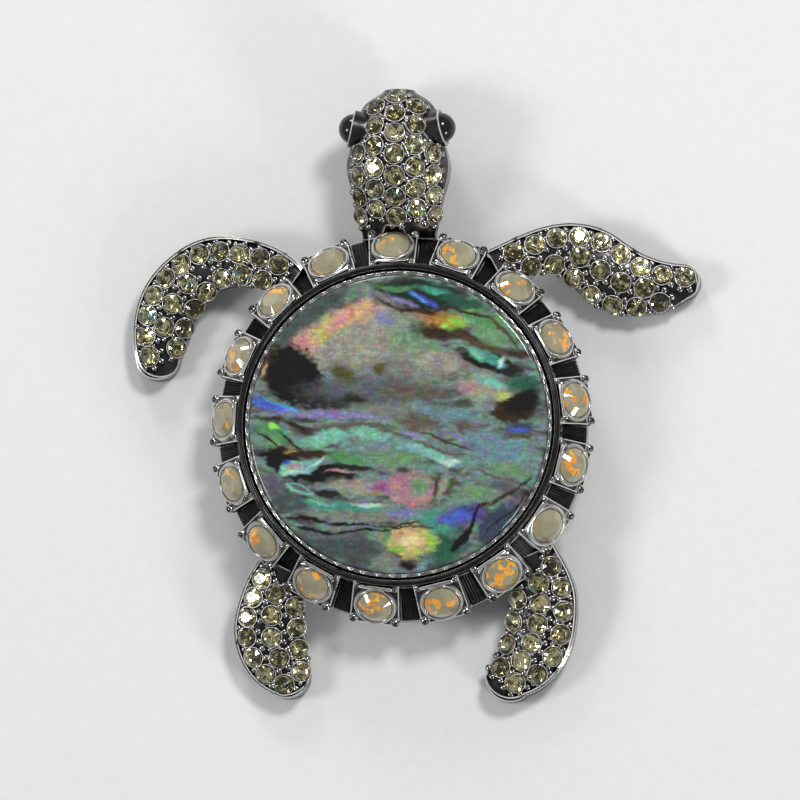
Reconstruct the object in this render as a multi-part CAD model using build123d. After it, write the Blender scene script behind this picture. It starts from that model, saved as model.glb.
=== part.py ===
from build123d import *
import os
from math import asin, atan2, cos, hypot, pi, radians, sin, sqrt

# Turtle brooch, lying on its flipper tips with the shell upwards.
# Millimetres. The head points along +Y. While it is built, Z = 0 is the surface
# that it lies on and the shell's axis is the Z axis. At the end everything moves
# together, so that the origin is the middle of its outline on that surface.

# Round shell cabochon and its cup
disc_diameter = 25.0
disc_edge = 1.0
disc_bevel = 0.35
disc_dome = 0.35
disc_seat_height = 5.7
lip_wall = 0.25
lip_height = 1.12
groove_width = 0.25
groove_height = 0.65
ring_wall = 0.47
ring_height = 1.2

# Clearances between what is set and the metal that holds it
disc_clearance = 0.06
opal_clearance = 0.08
pave_clearance = 0.05
eye_clearance = 0.06
pin_gap = 0.05

# Sloping rim of the casting: how far it reaches past the ring at the sides and at
# the head and tail, how far it falls, and the upright skirt below; open underneath
rim_side_run = 1.92
rim_end_run = 2.62
rim_fall = 2.1
rim_drop = 0.3
skirt_height = 0.9
shell_wall = 1.3
skirt_wall = 1.2
floor_thickness = 0.9

# Box settings round the rim
box_count = 17
first_box_angle = 92.5
box_outer_width = 4.2
box_inner_width = 3.8
box_outer_length = 2.05
box_inset = 0.15
box_bury = 0.15
box_rise = 0.75
box_root = 0.5
seat_offset = 0.3
seat_lip_wall = 0.2
seat_lip_height = 0.16
outer_bead_radius = 0.36
inner_bead_radius = 0.26
bead_inset = 0.32
bar_length = 2.5
bar_width = 0.26
bar_height = 0.28

# Cut stones
opal_diameter = 2.9
opal_crown = 0.42
opal_girdle = 0.12
opal_pavilion = 0.8
opal_sides = 12
pave_diameter = 1.6
pave_crown = 0.24
pave_girdle = 0.08
pave_pavilion = 0.55
pave_sides = 8
pave_stand = 0.16
pave_gap = 0.1
row_pitch = 1.7
row_step = 0.06
middle_row_room = 2.96
open_inset = 0.62
border_gap = 0.09
table_share = 0.6
culet_share = 0.16

# Head
head_shift = -0.3
head_root_inset = 0.3
head_length = 12.6
head_width = 8.5
head_height = 4.9
head_drop = 0.8
head_cheek = 2.2
head_row_gap = 1.66
head_row_pitch = 1.76
eye_along = 0.732
eye_diameter = 2.5
eye_dome = 1.0
eye_base = 0.5
eye_spread = 3.9
eye_rise = 2.5
eye_lift = 8.0
eye_nose_turn = 12.0
collet_wall = 0.26
collet_length = 2.0

# Flippers
flipper_root_inset = 0.6
flipper_root_stand = 0.8
flipper_thickness = 1.65
flipper_dome_radius = 4.5
flipper_border = 0.26
flipper_border_rise = 0.34
left_front_reach = 13.8
left_front_width = 5.2
right_front_reach = 16.75
right_front_width = 5.8
left_rear_reach = 10.3
left_rear_width = 5.9
right_rear_reach = 11.95
right_rear_width = 5.85

# Pin on the back
bar_pin_length = 21.0
bar_pin_width = 2.4
bar_pin_thickness = 0.8
bar_pin_offset = 3.0
pin_radius = 0.4
pin_height = 1.45
knuckle_radius = 1.05
catch_radius = 0.85
catch_length = 2.4

# Cut through the metal, this much past a face
overcut = 1.0

# Sections of the head from its root to its nose, as shares of its length,
# half width and height
head_sections = [
    # along, width, height
    (0.00, 0.74, 0.36),
    (0.09, 0.76, 0.55),
    (0.20, 0.82, 0.72),
    (0.34, 0.93, 0.90),
    (0.51, 1.00, 1.00),
    (0.68, 0.86, 0.95),
    (0.83, 0.76, 0.80),
    (0.92, 0.60, 0.62),
    (1.00, 0.30, 0.40),
]

# Sections of each flipper from its root to its tip: how far along the straight
# line from root to tip, how far to its left, both as shares of the reach, and
# the half width as a share of the flipper's half width
left_front_sections = [
    # along, bow, width
    (0.00, 0.00, 0.60),
    (0.06, -0.15, 0.70),
    (0.19, -0.30, 0.78),
    (0.34, -0.39, 0.88),
    (0.51, -0.40, 0.96),
    (0.68, -0.35, 1.00),
    (0.84, -0.23, 0.91),
    (0.94, -0.11, 0.70),
]
right_front_sections = [
    (0.00, 0.00, 0.66),
    (0.10, 0.06, 0.62),
    (0.21, 0.11, 0.64),
    (0.34, 0.12, 0.80),
    (0.48, 0.06, 0.99),
    (0.62, -0.02, 0.97),
    (0.78, -0.04, 0.79),
    (0.93, -0.01, 0.50),
]
left_rear_sections = [
    (0.00, 0.00, 0.74),
    (0.15, -0.10, 0.84),
    (0.29, -0.16, 0.92),
    (0.45, -0.20, 1.00),
    (0.61, -0.20, 0.96),
    (0.76, -0.15, 0.86),
    (0.89, -0.08, 0.62),
]
right_rear_sections = [
    (0.00, 0.00, 0.72),
    (0.11, 0.09, 0.80),
    (0.22, 0.15, 0.92),
    (0.37, 0.19, 0.97),
    (0.54, 0.20, 1.00),
    (0.70, 0.17, 0.93),
    (0.86, 0.09, 0.70),
]

# Where each flipper leaves the rim, where it heads, and which side of that
# heading has the raised border: 1 is the left side
flipper_table = [
    # name, root angle, heading, reach, width, border side, sections
    ("left_front", 127.0, 213.8, left_front_reach, left_front_width, -1, left_front_sections),
    ("right_front", 58.7, -2.4, right_front_reach, right_front_width, 1, right_front_sections),
    ("left_rear", 229.6, 276.9, left_rear_reach, left_rear_width, -1, left_rear_sections),
    ("right_rear", -44.6, 252.8, right_rear_reach, right_rear_width, 1, right_rear_sections),
]

# Rows of small stones from the nose back to the rim: how many row gaps sideways
# from the middle of the head, and where each starts as a share of its length
head_rows = [
    # side, start
    (0, 0.075),
    (1, 0.14),
    (-1, 0.14),
    (1.84, 0.40),
    (-1.84, 0.40),
]

# Values that follow from the sizes above
disc_radius = disc_diameter / 2
cup_radius = disc_radius + disc_clearance
lip_radius = cup_radius + lip_wall
groove_radius = lip_radius + groove_width
ring_radius = groove_radius + ring_wall
rim_half_width = ring_radius + rim_side_run
rim_half_length = ring_radius + rim_end_run
slope_top = disc_seat_height - rim_drop
slope_foot = slope_top - rim_fall
rim_underside = slope_foot - skirt_height
head_underside = slope_foot - head_drop
flipper_root_height = slope_foot + flipper_root_stand
flipper_tip_height = flipper_thickness
pave_radius = pave_diameter / 2
pave_pitch = pave_diameter + pave_gap
box_overhang = box_rise * sin(atan2(rim_fall, rim_side_run)) - box_inset


def rim_radius(turn):
    """The oval rim's radius, in a direction given as a turn from +X."""
    across = rim_half_length * cos(turn)
    along = rim_half_width * sin(turn)
    return rim_half_width * rim_half_length / hypot(across, along)


def closed_solid(rings):
    """A solid with flat faces between rings of points that lie above each other."""
    count = len(rings[0])
    faces = [Face(Wire.make_polygon(rings[0])), Face(Wire.make_polygon(rings[-1]))]
    for low, high in zip(rings, rings[1:]):
        for i in range(count):
            j = (i + 1) % count
            faces.append(Face(Wire.make_polygon([low[i], low[j], high[j], high[i]])))
    return Solid(Shell(faces))


def cut_stone(diameter, crown, girdle, pavilion, sides):
    """A cut stone with a table, its girdle's underside at Z = 0."""
    radius = diameter / 2
    levels = [
        (-pavilion, radius * culet_share),
        (0, radius),
        (girdle, radius),
        (girdle + crown, radius * table_share),
    ]
    rings = []
    for height, ring in levels:
        turns = [2 * pi * (i + 0.5) / sides for i in range(sides)]
        rings.append([Vector(ring * cos(t), ring * sin(t), height) for t in turns])
    return closed_solid(rings)


def stone_seat(diameter, pavilion, clearance):
    """The hollow that a cut stone sits in, with room above it."""
    top = diameter / 2 + clearance
    bottom = diameter / 2 * culet_share + clearance
    profile = Polyline(
        (0, -pavilion - clearance),
        (bottom, -pavilion - clearance),
        (top, -clearance),
        (top, overcut),
        (0, overcut),
        (0, -pavilion - clearance),
    )
    return revolve(Plane.XZ * make_face(profile), Axis.Z)


def oval(inset, height):
    """The rim's oval outline, smaller by an inset, at a height."""
    return Pos(0, 0, height) * Ellipse(rim_half_width - inset, rim_half_length - inset)


def disc_at(radius, height):
    """A round outline at a height."""
    return Pos(0, 0, height) * Circle(radius)


def cup_hollow():
    """The room inside the lip, down to the floor that the disc lies on."""
    return extrude(disc_at(cup_radius, disc_seat_height), ring_height + overcut)


def shell_body():
    """Cup floor, ring, groove, lip and sloping rim, hollow from below."""
    floor = disc_seat_height
    underside = floor - floor_thickness
    foot = slope_foot - shell_wall
    slope = loft([oval(0, slope_foot), disc_at(ring_radius, slope_top)])
    skirt = extrude(oval(0, rim_underside), slope_foot - rim_underside)
    collar = extrude(disc_at(ring_radius, slope_top), floor + ring_height - slope_top)
    hollow = loft([oval(skirt_wall, foot), disc_at(ring_radius - skirt_wall, underside)])
    mouth = extrude(oval(skirt_wall, rim_underside - overcut), foot - rim_underside + overcut)
    groove = extrude(disc_at(groove_radius, floor + groove_height), ring_height + overcut)
    groove -= extrude(disc_at(lip_radius, floor + groove_height), lip_height - groove_height)
    return skirt + [slope, collar] - [hollow, mouth, cup_hollow(), groove]


def box_planes():
    """A plane on the rim's slope for each box: X along the rim, Y towards the disc."""
    planes = []
    for i in range(box_count):
        turn = radians(first_box_angle + i * 360 / box_count)
        run = rim_radius(turn) - ring_radius
        tilt = atan2(rim_fall, run)
        back = box_outer_length + box_inset
        outward = Vector(cos(turn), sin(turn), 0)
        up = Vector(0, 0, 1)
        origin = outward * (rim_radius(turn) - back * cos(tilt))
        origin += up * (slope_foot + back * sin(tilt))
        normal = outward * sin(tilt) + up * cos(tilt)
        planes.append(Plane(origin=origin, x_dir=(-sin(turn), cos(turn), 0), z_dir=normal))
    return planes


def seat_plane(plane):
    """The plane on a box's top, at the middle of its stone."""
    return Plane(
        origin=plane.from_local_coords((0, -seat_offset, box_rise)),
        x_dir=plane.x_dir,
        z_dir=plane.z_dir,
    )


def box_inner_length(plane):
    """How far a box reaches up the slope, until its top is inside the ring's wall."""
    top = plane.from_local_coords((0, 0, box_rise))
    reach = hypot(top.X, top.Y) - ring_radius + box_bury
    return reach / plane.z_dir.Z


def box_setting(plane):
    """One box with its corner beads, inner bar and the lip round its stone."""
    outer = box_outer_width / 2
    inner = box_inner_width / 2
    inner_end = box_inner_length(plane)
    block = Polyline(
        (-outer, -box_outer_length),
        (outer, -box_outer_length),
        (inner, inner_end),
        (-inner, inner_end),
        close=True,
    )
    block = Pos(0, 0, -box_root) * extrude(make_face(block), box_root + box_rise)
    lip_radius_out = opal_diameter / 2 + opal_clearance + seat_lip_wall
    lip = Pos(0, -seat_offset, box_rise) * Cylinder(lip_radius_out, 2 * seat_lip_height)
    bar = Pos(0, inner_end - box_bury - bar_width / 2, box_rise) * Box(
        bar_length, bar_width, 2 * bar_height
    )
    pieces = [block, lip, bar]
    for side in (-1, 1):
        outer_place = (side * (outer - bead_inset), -box_outer_length + bead_inset, box_rise)
        inner_place = (side * (inner - bead_inset), inner_end - bead_inset, box_rise)
        post = Pos(0, 0, -box_rise / 2) * Cylinder(outer_bead_radius, box_rise)
        pieces.append(Pos(*outer_place) * (Sphere(outer_bead_radius) + post))
        pieces.append(Pos(*inner_place) * Sphere(inner_bead_radius))
    return plane.location * (pieces[0] + pieces[1:])


def head_frame():
    """Where the head starts, on the rim."""
    return Vector(head_shift, rim_half_length - head_root_inset, 0)


def head_body():
    """The head, domed across, lofted from root to nose."""
    root = head_frame()
    faces = []
    for along, width, height in head_sections:
        half = head_width / 2 * width
        top = head_height * height
        plane = Plane(
            origin=root + Vector(0, along * head_length, head_underside),
            x_dir=(-1, 0, 0),
            z_dir=(0, 1, 0),
        )
        cheek = head_cheek * height
        sides = [
            Line((-half, cheek), (-half, 0)),
            Line((-half, 0), (half, 0)),
            Line((half, 0), (half, cheek)),
            ThreePointArc((half, cheek), (0, top), (-half, cheek)),
        ]
        faces.append(plane * make_face(sides))
    return loft(faces)


def eye_planes():
    """A plane at each eye's collet rim, facing out to the side and a little up."""
    centre = head_frame() + Vector(0, eye_along * head_length, head_underside + eye_rise)
    lift = radians(eye_lift)
    turn = radians(eye_nose_turn)
    planes = []
    for side in (-1, 1):
        outward = Vector(side * cos(lift) * cos(turn), cos(lift) * sin(turn), sin(lift))
        planes.append(Plane(origin=centre + Vector(side * eye_spread, 0, 0), z_dir=outward))
    return planes


def eye_collet(plane):
    """The metal tube that holds an eye."""
    radius = eye_diameter / 2 + eye_clearance + collet_wall
    return plane.location * Pos(0, 0, -collet_length / 2) * Cylinder(radius, collet_length)


def eye_seat(plane):
    """The hollow in a collet for an eye."""
    depth = eye_base + eye_clearance
    tool = Cylinder(eye_diameter / 2 + eye_clearance, depth + overcut)
    return plane.location * Pos(0, 0, (overcut - depth) / 2) * tool


def eye_stone(plane):
    """A round black cabochon with a domed top."""
    radius = eye_diameter / 2
    sides = [
        Line((0, -eye_base), (radius, -eye_base)),
        Line((radius, -eye_base), (radius, 0)),
        dome_arc(radius, 0, eye_dome),
        Line((0, eye_dome), (0, -eye_base)),
    ]
    return plane.location * revolve(Plane.XZ * make_face(sides), Axis.Z)


class Flipper:
    """A flipper's middle line, sideways directions, half widths and heights."""

    def __init__(self, root_angle, heading, reach, width, border_side, sections):
        root_turn = radians(root_angle)
        root_radius = rim_radius(root_turn) - flipper_root_inset
        root = Vector(root_radius * cos(root_turn), root_radius * sin(root_turn), 0)
        ahead = Vector(cos(radians(heading)), sin(radians(heading)), 0)
        left = Vector(-ahead.Y, ahead.X, 0)
        self.border_side = border_side
        self.tip = root + ahead * reach
        self.middle = [root + ahead * (a * reach) + left * (b * reach) for a, b, w in sections]
        self.half_widths = [w * width / 2 for a, b, w in sections]
        self.shares = [a for a, b, w in sections]
        path = self.middle + [self.tip]
        before = [path[0]] + path
        self.sideways = []
        for i in range(len(self.middle)):
            step = (path[i + 1] - before[i]).normalized()
            self.sideways.append(Vector(-step.Y, step.X, 0))

    def edge(self, side, inset):
        """Points along one edge, moved inwards by an inset."""
        rows = zip(self.middle, self.sideways, self.half_widths)
        return [p + n * (side * (half - inset)) for p, n, half in rows]

    def stone_rows(self, border_inset, open_side_inset):
        """Lines of stones along both edges, drawn together where no third row fits between."""
        rows = ([], [])
        for p, n, half in zip(self.middle, self.sideways, self.half_widths):
            across = n * self.border_side
            room = 2 * half - border_inset - open_side_inset
            spare = max(min(room - row_pitch, 2 * (middle_row_room - room)), 0)
            rows[0].append(p + across * (half - border_inset - spare / 2))
            rows[1].append(p - across * (half - open_side_inset - spare / 2))
        return rows

    def prism(self, left_inset, right_inset, tip_inset, low, high):
        """The flipper's outline, extruded between two heights."""
        left = self.edge(1, left_inset)
        right = self.edge(-1, right_inset)
        last = self.middle[-1]
        tip = self.tip - (self.tip - last).normalized() * tip_inset
        lines = [
            Line(right[0], left[0]),
            Spline(*left),
            ThreePointArc(left[-1], tip, right[-1]),
            Spline(*reversed(right)),
        ]
        return Pos(0, 0, low) * extrude(make_face(lines), high - low, dir=(0, 0, 1))

    def blanket(self, rise, depth, reach_out):
        """A domed strip that follows the flipper, from root to past its tip."""
        past = (self.tip - self.middle[-1]).normalized() * overcut
        middle = self.middle + [self.tip + past]
        sideways = self.sideways + [self.sideways[-1]]
        shares = self.shares + [1.0]
        faces = []
        for point, across, share in zip(middle, sideways, shares):
            top = flipper_root_height + (flipper_tip_height - flipper_root_height) * share
            forward = Vector(across.Y, -across.X, 0)
            plane = Plane(origin=point, x_dir=across, z_dir=forward)
            up = plane.y_dir.Z
            fall = reach_out**2 / (2 * flipper_dome_radius)
            edge = up * (top + rise - fall)
            base = up * (top - depth)
            sides = [
                Line((-reach_out, edge), (-reach_out, base)),
                Line((-reach_out, base), (reach_out, base)),
                Line((reach_out, base), (reach_out, edge)),
                ThreePointArc((reach_out, edge), (0, up * (top + rise)), (-reach_out, edge)),
            ]
            faces.append(plane * make_face(sides))
        return loft(faces)


def dome_arc(radius, base, rise):
    """Half of a domed top's section, from its edge to the axis."""
    sphere = (radius**2 + rise**2) / (2 * rise)
    middle = sin(asin(min(radius / sphere, 1)) / 2) * sphere
    height = base + rise - sphere + sqrt(sphere**2 - middle**2)
    return ThreePointArc((radius, base), (middle, height), (0, base + rise))


def seat_point(surface, x, y):
    """Where a vertical line meets the top of a surface, and the way up from it."""
    hits = surface.find_intersection_points(Axis((x, y, -overcut), (0, 0, 1)))
    if not hits:
        return None
    point, normal = hits[-1]
    return (point, normal) if normal.Z > 0 else (point, -normal)


def off_the_rim(point):
    """Whether a small stone at a point is clear of the boxes."""
    clear = rim_radius(atan2(point.Y, point.X)) + box_overhang + pave_radius + pave_gap
    return hypot(point.X, point.Y) >= clear


def seats_along(line, start, surface, placed):
    """Possible seats along a line, each clear of the boxes and of all stones placed."""
    seats = []
    count = int((1 - start) * line.length / row_step)
    for i in range(count + 1):
        spot = line @ (start + (1 - start) * i / count)
        seat = seat_point(surface, spot.X, spot.Y) if off_the_rim(spot) else None
        if seat and all((seat[0] - other[0]).length >= pave_pitch for other in placed):
            seats.append(seat)
    return seats


def taken_at(seats, pitch):
    """The first seat and each next one that is at least a pitch from the last taken."""
    taken = seats[:1]
    for seat in seats[1:]:
        if (seat[0] - taken[-1][0]).length >= pitch:
            taken.append(seat)
    return taken


def spread_out(seats, pitch):
    """As many seats as the pitch allows, spread out to reach the end of the line."""
    taken = taken_at(seats, pitch)
    wider = taken
    while len(taken) > 1 and len(wider) == len(taken):
        taken = wider
        pitch += row_step / 2
        wider = taken_at(seats, pitch)
    return taken


def head_seats(head):
    """Seats of the small stones on the head, row by row from its nose."""
    surface = head.shell()
    root = head_frame()
    eyes = [plane.origin for plane in eye_planes()]
    eye_reach = eye_diameter / 2 + eye_clearance + collet_wall + pave_radius + pave_gap
    placed = []
    for side, start in head_rows:
        sideways = Vector(side * head_row_gap, 0, 0)
        line = Line(root + sideways + Vector(0, head_length, 0), root + sideways)
        placed += taken_at(seats_along(line, start, surface, placed), head_row_pitch)
    return [seat for seat in placed if all((seat[0] - eye).length > eye_reach for eye in eyes)]


def flipper_seats(flipper, ground):
    """Seats of the small stones on a flipper: bordered side, middle, other side."""
    surface = ground.shell()
    placed = []
    tip_inset = flipper_border + pave_radius + border_gap
    bordered, open_side = flipper.stone_rows(tip_inset, open_inset)
    middle = [(a + b) / 2 for a, b in zip(bordered, open_side)]
    middle.append(flipper.tip + (middle[-1] - flipper.tip).normalized() * tip_inset)
    for row in (bordered, middle, open_side):
        placed += spread_out(seats_along(Spline(*row), 0, surface, placed), row_pitch)
    return placed


def seat_locations(seats):
    """Where each small stone's girdle sits, a little above its seat."""
    return [Plane(origin=p + n * pave_stand, z_dir=n).location for p, n in seats]


def bar_pin():
    """The pin on the back: a bar, a knuckle, a catch and the stem, one piece."""
    top = disc_seat_height - floor_thickness - pin_gap
    bar_middle = top - bar_pin_thickness / 2
    half = bar_pin_length / 2
    bar = Pos(0, 0, bar_middle) * Box(bar_pin_length, bar_pin_width, bar_pin_thickness)
    knuckle_place = Pos(-half + knuckle_radius, 0, pin_height) * Rot(90, 0, 0)
    knuckle = knuckle_place * Cylinder(knuckle_radius, bar_pin_width)
    catch_place = Pos(half - catch_length / 2, 0, pin_height) * Rot(0, 90, 0)
    catch = catch_place * Cylinder(catch_radius, catch_length)
    stem_length = bar_pin_length - 2 * knuckle_radius
    stem = Pos(knuckle_radius / 2, 0, pin_height) * Rot(0, 90, 0) * Cylinder(pin_radius, stem_length)
    post_height = bar_middle - pin_height
    post_middle = (bar_middle + pin_height) / 2
    hinge_post = Pos(-half + knuckle_radius, 0, post_middle) * Box(
        2 * knuckle_radius, bar_pin_width, post_height
    )
    catch_post = Pos(half - catch_length / 2, 0, post_middle) * Box(
        catch_length, 2 * catch_radius, post_height
    )
    return Pos(0, bar_pin_offset, 0) * (bar + [knuckle, catch, stem, hinge_post, catch_post])


def abalone_disc():
    """The round cabochon: upright edge, bevel and a low dome."""
    low = disc_seat_height + disc_clearance
    shoulder = low + disc_edge
    rim = shoulder + disc_bevel
    top = rim + disc_dome
    inner = disc_radius - disc_bevel
    outline = [
        Line((0, low), (disc_radius, low)),
        Line((disc_radius, low), (disc_radius, shoulder)),
        Line((disc_radius, shoulder), (inner, rim)),
        dome_arc(inner, rim, disc_dome),
        Line((0, top), (0, low)),
    ]
    return revolve(Plane.XZ * make_face(outline), Axis.Z)


def build():
    """Every node by name, in the frame of the shell's axis."""
    nodes = {}
    boxes = box_planes()
    opal = cut_stone(opal_diameter, opal_crown, opal_girdle, opal_pavilion, opal_sides)
    opal_seat = stone_seat(opal_diameter, opal_pavilion, opal_clearance)
    pave = cut_stone(pave_diameter, pave_crown, pave_girdle, pave_pavilion, pave_sides)
    pave_seat = stone_seat(pave_diameter, pave_pavilion, pave_clearance)

    head = head_body()
    fields = {"pave_head": seat_locations(head_seats(head))}
    casting = [head]
    cuts = [cup_hollow()]
    for name, root_angle, heading, reach, width, border_side, sections in flipper_table:
        flipper = Flipper(root_angle, heading, reach, width, border_side, sections)
        strip = width / 2 + flipper_border
        ground = flipper.blanket(0, flipper_root_height + overcut, strip)
        slab = flipper.blanket(flipper_border_rise, flipper_thickness, strip)
        left_inset = flipper_border if border_side > 0 else -flipper_border
        low = -overcut / 2
        high = flipper_root_height + overcut
        field = flipper.prism(left_inset, -left_inset, flipper_border, low, high) - ground
        casting.append((flipper.prism(0, 0, 0, low, high) & slab) - field)
        fields["pave_" + name] = seat_locations(flipper_seats(flipper, ground))

    for plane in eye_planes():
        casting.append(eye_collet(plane))
        cuts.append(eye_seat(plane))
    cast_frame = shell_body() + [box_setting(plane) for plane in boxes]
    cast_frame = cast_frame + casting

    for i, plane in enumerate(boxes):
        place = seat_plane(plane).location * Pos(0, 0, opal_clearance)
        nodes["opal_%02d" % (i + 1)] = place * opal
        cuts.append(place * opal_seat)
    for name, places in fields.items():
        nodes[name] = Compound([place * pave for place in places])
        cuts.extend(place * pave_seat for place in places)
    nodes["eye_left"], nodes["eye_right"] = [eye_stone(plane) for plane in eye_planes()]
    nodes["abalone_disc"] = abalone_disc()
    nodes["bar_pin"] = bar_pin()
    nodes["cast_frame"] = cast_frame - cuts
    return nodes


def lay_down(nodes):
    """Move all nodes so that the middle of the outline's underside is the origin."""
    box = Compound(list(nodes.values())).bounding_box()
    centre = box.center()
    move = Pos(-centre.X, -centre.Y, -box.min.Z)
    return {name: move * shape for name, shape in nodes.items()}


os.makedirs("parts", exist_ok=True)
for name, shape in lay_down(build()).items():
    export_step(shape, "parts/" + name + ".step")
    print(name, len(shape.solids()), round(shape.volume, 2))
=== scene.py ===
import bpy
import numpy as np
from math import atan2, cos, hypot, pi, radians, sin
from mathutils import Matrix, Vector, noise
from mathutils.bvhtree import BVHTree


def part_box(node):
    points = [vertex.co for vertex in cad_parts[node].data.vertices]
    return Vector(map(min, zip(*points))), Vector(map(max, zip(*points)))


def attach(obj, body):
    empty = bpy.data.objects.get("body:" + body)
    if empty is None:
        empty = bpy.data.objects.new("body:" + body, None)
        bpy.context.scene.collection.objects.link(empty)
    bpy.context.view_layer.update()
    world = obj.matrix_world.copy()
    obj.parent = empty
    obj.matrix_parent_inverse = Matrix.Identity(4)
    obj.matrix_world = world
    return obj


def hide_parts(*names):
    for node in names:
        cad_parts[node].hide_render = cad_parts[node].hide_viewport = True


# The turtle brooch's looks: settings, cut stones, shell cabochon and finishes.
# Metres. Small sizes are written as millimetres times MM.

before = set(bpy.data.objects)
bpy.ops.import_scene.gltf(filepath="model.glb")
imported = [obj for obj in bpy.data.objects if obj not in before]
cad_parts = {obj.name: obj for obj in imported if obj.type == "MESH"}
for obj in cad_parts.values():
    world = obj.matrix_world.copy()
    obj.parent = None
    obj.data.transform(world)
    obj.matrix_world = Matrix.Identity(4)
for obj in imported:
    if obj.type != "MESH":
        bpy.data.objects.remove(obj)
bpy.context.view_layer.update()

MM = 0.001

# The cabochon, and the seat it lies on
disc_low, disc_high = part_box("abalone_disc")
shell_x = (disc_low.x + disc_high.x) / 2
shell_y = (disc_low.y + disc_high.y) / 2
disc_radius = (disc_high.x - disc_low.x) / 2
disc_corners = 480
dome_rings = 90
dome_rise = 0.35 * MM
shoulder = 0.35 * MM
shoulder_rounding = 0.8
shoulder_steps = 4
smooth_below = 40
seat_z = disc_low.z - 0.06 * MM

# The cup round it: the lip, the groove and the ring. The lip's scallops are balls drawn
# long, every third of them a short one.
lip_radius = 12.81 * MM
lip_height = 1.12 * MM
scallop_count = 68
scallop_inset = 0.1 * MM
short_scallop = 0.95 * MM
long_scallop = 1.32 * MM
scallop_width = 0.26 * MM
scallop_height = 0.2 * MM
groove_radius = 13.06 * MM
ring_radius = 13.53 * MM
ring_height = 1.2 * MM
ring_wire = 0.24 * MM
ring_sink = 0.06 * MM

# The oval rim that slopes down from the ring
rim_half_width = 15.45 * MM
rim_half_length = 16.15 * MM
rim_fall = 2.1 * MM
slope_top_z = seat_z - 0.3 * MM
slope_foot_z = slope_top_z - rim_fall

# The boxes on the slope. Angles are degrees from +X.
box_count = 17
box_step = 360 / box_count
first_box_angle = 92.5
box_outer_half = 2.1 * MM
box_inner_half = 1.9 * MM
box_outer_length = 2.05 * MM
box_inset = 0.15 * MM
box_bury = 0.15 * MM
box_rise = 0.75 * MM
seat_offset = 0.3 * MM

# Beads are balls, worn a little flat above a share of their radius
bead_worn_from = 0.7
bead_worn_size = (1.1, 1.1, 0.85)

# Trim of a box. Side is across the box, back is away from the disc, lift is above the top.
bead_inset = 0.32 * MM
corner_bead_radius = 0.37 * MM
inner_bead_radius = 0.27 * MM
bar_rounding = 0.45
bar_size = (2.9 * MM, 0.34 * MM, 0.4 * MM)
bar_back = 0.2 * MM
bar_lift = 0.13 * MM
bar_foot_size = (0.8 * MM, 0.26 * MM, 0.36 * MM)
bar_foot_side = 1.22 * MM
bar_foot_back = 0.2 * MM
bar_foot_lift = 0.08 * MM
bar_foot_turn = 62
filler_bead_radius = 0.17 * MM
filler_bead_side = 0.55 * MM
filler_bead_back = 0.27 * MM
filler_bead_lift = 0.02 * MM
filler_bead_room = 0.42 * MM
bezel_gap = 0.1 * MM
bezel_wire = 0.09 * MM
bezel_lift = 0.12 * MM

# Ribs in the channels between the boxes. The model is a metre long and is made thin.
ribs_a_channel = (-2, -1, 0, 1, 2)
rib_step = 0.95
rib_size = (1.0, 0.14, 0.12)
rib_thinning = 1.3 * MM
rib_end = 0.02

# Cut stones. Shares are of the girdle's radius.
table_share = 0.6
culet_share = 0.16
opal_radius = 1.45 * MM
opal_cut = {
    "crown": 0.42 * MM,
    "girdle": 0.12 * MM,
    "pavilion": 0.8 * MM,
    "sides": 16,
    "facet": 0.16 * MM,
}
pave_radius = 0.8 * MM
pave_cut = {
    "crown": 0.24 * MM,
    "girdle": 0.08 * MM,
    "pavilion": 0.55 * MM,
    "sides": 8,
    "facet": 0.1 * MM,
}
fields = ["pave_head", "pave_left_front", "pave_right_front", "pave_left_rear", "pave_right_rear"]

# Rims and beads that hold the small stones. A bead is tried at each turn round each
# stone, about its own radius off the stone's edge and hardly nearer to another stone. It
# stays where the metal lies between the two depths and faces the same way as the stone.
seat_rim_wire = 0.045 * MM
seat_rim_sink = 0.38 * MM
bead_radius = 0.18 * MM
bead_sizes = (1.7, 1.3, 1.0)
bead_overlap = 0.95
bead_slack = 0.99
bead_turns = 16
bead_ray_start = 0.3 * MM
least_bead_depth = 0.64 * MM
most_bead_depth = 1.1 * MM
least_bead_facing = 0.8

# The camera looks down on the brooch from a little below and to the right: how far it
# stands sideways and down for each unit of height, what it looks at and takes in
view_side = 0.11
view_down = -0.11
view_middle = Vector((shell_x - 0.167 * MM, shell_y + 2.333 * MM, 4.0 * MM))
view_width = 66.67 * MM
view_distance = 1.2
sensor_width = 36

# Modelling


def take(piece):
    """The piece alone selected and active, in object mode."""
    if bpy.context.object and bpy.context.object.mode != "OBJECT":
        bpy.ops.object.mode_set(mode="OBJECT")
    bpy.ops.object.select_all(action="DESELECT")
    piece.select_set(True)
    bpy.context.view_layer.objects.active = piece


def edit(piece):
    """The piece alone in edit mode with nothing of its mesh selected."""
    take(piece)
    bpy.ops.object.mode_set(mode="EDIT")
    bpy.ops.mesh.select_all(action="DESELECT")


def pick(piece, part, wanted):
    """Select the vertices, edges or faces of a piece in edit mode that a test wants."""
    bpy.ops.object.mode_set(mode="OBJECT")
    mesh = piece.data
    for group in (mesh.vertices, mesh.edges, mesh.polygons):
        for item in group:
            item.select = False
    parts = ("vertices", "edges", "polygons")
    bpy.context.tool_settings.mesh_select_mode = [part == name for name in parts]
    for item in getattr(mesh, part):
        item.select = wanted(item)
    bpy.ops.object.mode_set(mode="EDIT")


def faces_up(face):
    """Whether a face looks up."""
    return face.normal.z > 0.9


def faces_down(face):
    """Whether a face looks down."""
    return face.normal.z < -0.9


def draw_out(height, share, centre=(0, 0, 0)):
    """Extrude what is selected along Z and size it round a centre."""
    bpy.ops.mesh.extrude_region_move(TRANSFORM_OT_translate={"value": (0, 0, height)})
    bpy.ops.transform.resize(value=(share, share, 1), center_override=centre)


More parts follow.
